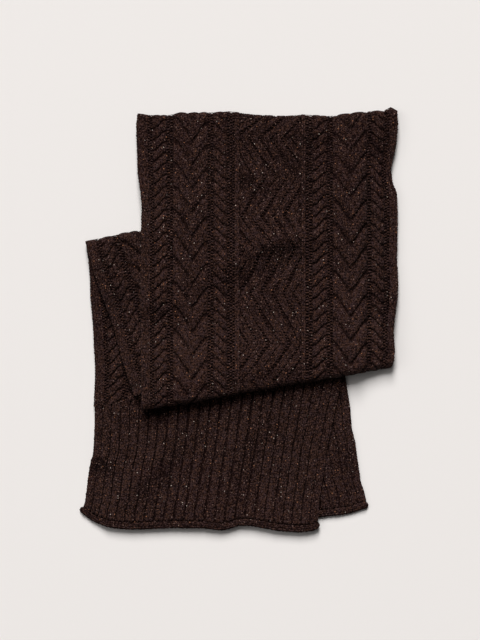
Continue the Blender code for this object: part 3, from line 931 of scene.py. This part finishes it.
# The line that each end's hem is rolled up to, from left to right, in mm.
UPPER_HEM_LINE = [
    Edge(-211, -182), Edge(-213, -178.5), Edge(-218.2, -171.6), Edge(-222.3, -164.7), Edge(-227.4, -150.9),
    Edge(-229.2, -137), Edge(-230, -123.3), Edge(-229.7, -109.5), Edge(-228.9, -95.7), Edge(-228, -75),
    Edge(-228.4, -54.3), Edge(-228.6, -40.5), Edge(-230.3, -30.1), Edge(-230.9, -19.8), Edge(-229.7, -12.9),
    Edge(-227.4, -6), Edge(-225.4, 0.9), Edge(-226, 14.7), Edge(-228.6, 28.5), Edge(-231.2, 42.3),
    Edge(-232.4, 56.1), Edge(-233.3, 69.9), Edge(-232.6, 76.8), Edge(-231.5, 83.7), Edge(-228.5, 92),
]
UNDER_HEM_LINE = [
    Edge(-225.5, -135), Edge(-219, 0), Edge(-215.9, 95), Edge(-213.5, 116), Edge(-211.5, 127),
    Edge(-207.8, 139), Edge(-205, 149),
]

RIB_DENTS = [
    Dent(-158, -157, 12, 9, 20, 1.4),
    Dent(-162, -175, 12, 9, 20, -2),
    Dent(-116, -187, 18, 13, 0, 1.6),
    Dent(-60, -150, 12, 50, -26, -1.2),
    Dent(10, -160, 12, 50, -26, -0.9),
]


def hem_y(line, x):
    """How far down the scarf a hem's line is, at this x."""
    y, at_x = np.array(line).T * MM
    return np.interp(x, at_x, y)


def on_under_end(x, y):
    """1 where the under end carries what lies on it, and down to 0 past its left edge."""
    beyond = edge_x(UNDER_RIB_LEFT, y) - x
    return 1.0 - smooth_step((beyond - DROP_START) / DROP_RUN)


def upper_rib_base(x, y):
    """The height of the upper end's underside: on the under end and its hem, and down past its left edge."""
    over_hem = 1.0 - smooth_step((y - hem_y(UPPER_HEM_LINE, x) - RISE_START) / RISE_RUN)
    return (RIB_LIFT + (HEM_THICK - RIB_PLY) * over_hem) * on_under_end(x, y)


def rib_spread(left, right, hem_line):
    """Where a ribbed end's places lie in plan: shared out between its edges, and counted up from its hem."""

    def spread(across, down):
        share = across / RIB_WIDE
        y = -down
        for _ in range(3):
            x = edge_x(left, y) + (edge_x(right, y) - edge_x(left, y)) * share
            y = hem_y(hem_line, x) + RIB_LONG - down
        return x, y

    return spread


# Where the yarn is painted darker (-) or lighter (+), by its place across the end and up from its start; one
# of them is a painted shadow.
RIB_TONES_AND_SHADOW = [
    Dent(88, -144, 13, 46, -42, -0.75),
    Dent(70, -166, 12, 18, -30, -0.35),
    Dent(190, -126, 14, 46, -14, -0.75),
    Dent(160, -130, 10, 46, -12, 0.15),
    Dent(58, -146, 9, 34, -36, 0.45),
    Dent(24, -188, 14, 9, 0, 0.35),
    Dent(16, -140, 14, 9, 8, -1.2),
    # painted shadow just below the tip of the wedge
    Dent(72, -74, 18, 12, 8, -1.4),
    Dent(120, -84, 44, 7, 10, 0.30),
    Dent(200, -66, 44, 9, 10, 0.30),
]


RIB_HALF, RIB_STITCH = 0.43 * RIB_PITCH, 0.40 * RIB_PITCH
RIB_LOW, RIB_HIGH = -2.9 * MM, 2.8 * MM  # the level of a rib's sides, and its height over them


def knit_ribs(knitting, rows, first, last, wander):
    """Ribs of two knit stitches, from this number to that, on their rounded bodies."""
    for rib in range(first, last):
        share = (rib + 0.5) / RIBS
        middle = RIB_WIDE * (share - 0.012 * math.sin(2 * math.pi * share))
        phase = knitting.chance.random(2) * 2 * math.pi

        def place(row, column, held):
            swing = wander * (np.sin(row / 7.0 + phase[0]) + 0.5 * np.sin(row / 2.7 + phase[1]))
            return middle + swing + column, RIB_LOW + RIB_HIGH * dome(column / (1.02 * RIB_HALF)) ** 0.7

        knit_wales(knitting, place, RIB_STITCH * np.array([-0.5, 0.5]), RIB_STITCH, rows)
        across, lift = place(rows[:, None], np.linspace(-RIB_HALF, RIB_HALF, 7), None)
        core(knitting, across, lift, rows)


rib_wool = wool("rib_wool")
RIB_ROWS = np.arange(0.0, RIB_LONG / ROW)
RIB_LAYOUT = -2.0 * MM, RIB_WIDE + 2.0 * MM, 0.0, RIB_LONG + 3.0 * MM


def rib_wall(name, cloth_at, hem_line, base_left, base_right):
    """The wall under a ribbed end's stitches, from under the bottom fold to its hem."""
    share = np.linspace(0.0, 1.0, 70)
    start = (RIBS_START.y2 + (RIBS_START.y1 - RIBS_START.y2) * share) * MM - 1.0 * MM
    ends = hem_y(hem_line, (base_left + (base_right - base_left) * share) * MM)
    start_down = RIB_LONG - (start - ends)
    down = start_down + (RIB_LONG + 2.0 * MM - start_down) * np.linspace(0.0, 1.0, 60)[:, None]
    return cloth_wall(
        name, cloth_at, RIB_WIDE, down, len(share), (1, 1), rib_wool, RIB_PLY
    )


def upper_rib_top(x, y):
    return upper_rib_base(x, y) + RIB_PLY + dented(x, y, RIB_DENTS)


upper_spread = rib_spread(UPPER_RIB_LEFT, UPPER_RIB_RIGHT, UPPER_HEM_LINE)
upper_rib_at = lying(upper_spread, upper_rib_top, RIB_WIDE, (), RIB_PLY)
knitting = Knitting(seed=40)
knit_ribs(knitting, RIB_ROWS, 0, RIBS, 0.25 * MM)
upper_ribs = knitted(
    "upper_ribs", knitting, upper_rib_at, rib_wool, RIB_LAYOUT,
    lambda x, y: past(RIBS_START, x, y) > 0.5 * MM, RIB_TONES_AND_SHADOW,
)
upper_rib_cloth = rib_wall("upper_rib_cloth", upper_rib_at, UPPER_HEM_LINE, -182.0, 92.0)
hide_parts("upper_rib_end")

# ---------------------------------------------------------------------------------------------------------
# The upper hem: the last rows of the ribbed end are knitted plain, so that they roll up on themselves along
# the edge, with the purl side out. Nothing else holds them.

HEM_END = 5.0 * MM  # how far from its ends a rolled hem narrows
HEM_LEVEL = -0.9 * MM  # of its wall, and the feet of its stitches
HEM_STITCH = 4.4 * MM


def hem_laid(line, left, right, base):
    """How a rolled hem lies: places along it and round it, from its back over its top to its front."""

    def cloth_at(across, down, lift):
        x = left + across
        from_end = np.minimum(x - left, right - x)
        size = dome(1.0 - np.clip(from_end / HEM_END, 0.0, 1.0)) * 0.98 + 0.02
        turn = down / HEM_DEEP * 2.0
        centre = hem_y(line, np.clip(x, left + 2.0 * MM, right - 2.0 * MM)) - HEM_DEEP / 2
        reach, rise = (HEM_DEEP / 2 + lift) * size, (HEM_THICK / 2 + lift) * size
        y = centre + reach * np.cos(turn)
        z = base(x, y) + HEM_THICK / 2 + rise * np.clip(1.15 * np.sin(turn), -1.0, 1.0)
        return np.stack([x, y, np.maximum(z, 0.0)], -1)

    return cloth_at


def rolled_hem(name, line, left, right, base, seed):
    """A rolled hem's wall and its rows of purl bars, between two ends. Returns both objects."""
    cloth_at, length = hem_laid(line, left, right, base), right - left
    turns = np.linspace(-2.9, 3.5, 22)  # round the roll, in radians: 0 is its back, and pi / 2 its top
    wall = Knitting(seed)
    end, inside = np.linspace(0.0, HEM_END, 6), HEM_END + 2.0 * MM
    across = np.concatenate([end, np.linspace(inside, length - inside, 120), np.sort(length - end)])
    lift = HEM_LEVEL - 0.4 * MM * smooth_step((-2.4 - turns) / 0.5)
    across, down, lift = np.broadcast_arrays(across[None, :, None], turns * HEM_DEEP / 2, lift)
    wall.add(across, down, lift, WALL_SHADE, wall=1.0)
    bars = Knitting(seed)
    for row, turn in enumerate(np.linspace(-2.2, 3.6, 9)):
        start = np.arange(0.6, length / HEM_STITCH - 0.6) + 0.5 * (row % 2)
        loose = bars.chance.normal(0.0, 1.0, (3, len(start), 1))
        across = (start[:, None] + 0.56 * STATIONS) * HEM_STITCH + 0.4 * MM * loose[0]
        down = turn * HEM_DEEP / 2 + 0.5 * MM * STATIONS**2 + 0.25 * MM * loose[1]
        lift = HEM_LEVEL + 0.15 * MM * loose[2]
        bars.yarn(across, down, lift, 1.15 * MM, 1.0 * MM, bars.chance.random(len(start)))
    layout = (0.0, length, -math.pi * HEM_DEEP / 2, math.pi * HEM_DEEP / 2 + 2.0 * MM)
    return (
        knitted(name, wall, cloth_at, rib_wool, layout),
        knitted(name + "_stitches", bars, cloth_at, rib_wool, layout),
    )


def upper_hem_base(x, y):
    return RIB_LIFT * on_under_end(x, y)


upper_hem, upper_hem_stitches = rolled_hem(
    "upper_hem_roll", UPPER_HEM_LINE, -183.5 * MM, 92.8 * MM, upper_hem_base, seed=50
)
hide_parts("upper_hem")

# ---------------------------------------------------------------------------------------------------------
# The under ribbed end and its hem: the scarf's other end, flat on the table and turned a few degrees, so that
# only its right side shows.

UNDER_TONES = [Dent(268, -150, 15, 15, 0, -0.9)]

under_spread = rib_spread(UNDER_RIB_LEFT, UNDER_RIB_RIGHT, UNDER_HEM_LINE)
under_rib_at = lying(under_spread, level(RIB_PLY), RIB_WIDE, (), RIB_PLY)
knitting = Knitting(seed=60)
knit_ribs(knitting, RIB_ROWS, 17, RIBS, 0.3 * MM)
under_ribs = knitted(
    "under_ribs", knitting, under_rib_at, rib_wool, RIB_LAYOUT,
    lambda x, y: (past(RIBS_START, x, y) > 0.5 * MM) & (x > edge_x(UPPER_RIB_RIGHT, y) - 9.0 * MM),
    UNDER_TONES,
)
under_rib_cloth = rib_wall("under_rib_cloth", under_rib_at, UNDER_HEM_LINE, -135.0, 148.0)
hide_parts("under_rib_end")

under_hem, under_hem_stitches = rolled_hem(
    "under_hem_roll", UNDER_HEM_LINE, -136.0 * MM, 148.6 * MM, level(0.0), seed=70
)
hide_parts("under_hem")

# ---------------------------------------------------------------------------------------------------------
# The hidden layers: the front stretch's under ply, and the two plies each of the middle and the lower stretch
# beneath it. They show only at their edges and from below, so only the edges of the front stretch's under ply
# and of the middle stretch's plies have their stitches.

HIDDEN_WIDE, HIDDEN_ROWS = 280.0 * MM, np.arange(0.0, 106.0)
HIDDEN_EDGE = 8.0 * MM  # how much of a hidden edge is knitted


def y_on(line, x):
    return (line.y1 + (line.y2 - line.y1) * (x / MM - line.x1) / (line.x2 - line.x1)) * MM


def x_on(line, y):
    return (line.x1 + (line.x2 - line.x1) * (y / MM - line.y1) / (line.y2 - line.y1)) * MM


def hidden_spread(right_edge):
    """Places of a hidden stretch: from under the front stretch's left edge to its own right one."""

    def spread(across, down):
        x = FRONT_COVERS + across
        for _ in range(3):
            top, bottom = y_on(TOP_FOLD, x) - 9.0 * MM, y_on(RIBS_START, x) + 1.0 * MM
            y = top + (bottom - top) * down / (HIDDEN_ROWS[-1] * ROW)
            x = FRONT_COVERS + (x_on(right_edge, y) - FRONT_COVERS) * across / HIDDEN_WIDE
        return x, y

    return spread


def middle_base(x, y):
    return LIFT * carried(x, y, LOWER_RIGHT)


def hidden_wall(name, cloth_at, wide, rows, free):
    return cloth_wall(name, cloth_at, wide, rows[:, None] * ROW, 40, free, hidden_wool)


def hidden_edges(name, cloth_at, wide, rows, free):
    """The stitches of a hidden ply's free edges."""
    edges = Knitting(seed=81)
    rows = np.arange(math.ceil(rows[0]), rows[-1])
    if free[0]:
        knit_plain(edges, 0.0, HIDDEN_EDGE, 2, rows)
    if free[1]:
        knit_plain(edges, wide - HIDDEN_EDGE, HIDDEN_EDGE, 2, rows)
    layout = -MARGIN, wide + MARGIN, rows[0] * ROW, rows[-1] * ROW
    return knitted(name, edges, cloth_at, hidden_wool, layout)


hidden_wool = wool("hidden_wool")
front_under_at = front_laid(front_under_top, (BOTTOM_FOLD, FOLD_RADIUS - CABLE_PLY))
front_under_rows = np.arange(7.5, 104.0)
front_under = hidden_wall("front_under_ply", front_under_at, CLOTH_WIDE, front_under_rows, (1, 1))
hidden_pieces = [
    hidden_edges("front_under_ply_edge", front_under_at, CLOTH_WIDE, front_under_rows, (1, 1))
]
for name, right_edge, base in (("middle", MIDDLE_RIGHT, middle_base), ("lower", LOWER_RIGHT, level(0.0))):
    for ply, ply_name in ((1, name + "_bottom_ply"), (2, name + "_top_ply")):
        ply_at = lying(hidden_spread(right_edge), lambda x, y: base(x, y) + ply * CABLE_PLY, HIDDEN_WIDE)
        rows = HIDDEN_ROWS if name == "middle" else HIDDEN_ROWS[::3]
        hidden_pieces.append(hidden_wall(ply_name, ply_at, HIDDEN_WIDE, rows, (0, 1)))
        if name == "middle":
            hidden_pieces.append(hidden_edges(ply_name + "_edge", ply_at, HIDDEN_WIDE, rows, (0, 1)))
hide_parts("hidden_layers")

# ---------------------------------------------------------------------------------------------------------
# The studio: a large soft box far beyond the top of the scarf, a weak one at its left, and pale walls all
# round. The camera looks straight down.

CAMERA_UP = 5.0
VIEW_TALL = 0.736  # how much of the table it takes in, from top to bottom

camera = bpy.data.cameras.new("camera")
camera.sensor_width = 36.0
camera.lens = camera.sensor_width * CAMERA_UP / VIEW_TALL
camera.clip_end = 50.0
seen_from = bpy.data.objects.new("camera", camera)
seen_from.location = (0.92 * MM, 2.19 * MM, CAMERA_UP)
bpy.context.scene.collection.objects.link(seen_from)
bpy.context.scene.camera = seen_from


def soft_box(name, around, above, away, wide, tall, power):
    """A soft light: its angle round from +Y and up from the table, its distance, its size and its power."""
    light = bpy.data.lights.new(name, "AREA")
    light.shape, light.size, light.size_y, light.energy = "RECTANGLE", wide, tall, power
    lamp = bpy.data.objects.new(name, light)
    around, above = math.radians(around), math.radians(above)
    flat = math.cos(above)
    from_table = Vector((-math.sin(around) * flat, math.cos(around) * flat, math.sin(above)))
    lamp.location = from_table * away
    lamp.rotation_euler = from_table.to_track_quat("Z", "Y").to_euler()
    bpy.context.scene.collection.objects.link(lamp)


soft_box("key_light", around=4.0, above=46.5, away=40.0, wide=12.0, tall=25.0, power=20500.0)
soft_box("side_light", around=75.0, above=50.0, away=20.0, wide=14.0, tall=14.0, power=700.0)
world = bpy.data.worlds.new("studio")
world.use_nodes = True
world.node_tree.nodes["Background"].inputs["Color"].default_value = (1.0, 0.985, 0.97, 1.0)
world.node_tree.nodes["Background"].inputs["Strength"].default_value = 0.07
bpy.context.scene.world = world
bpy.context.scene.view_settings.view_transform = "Standard"
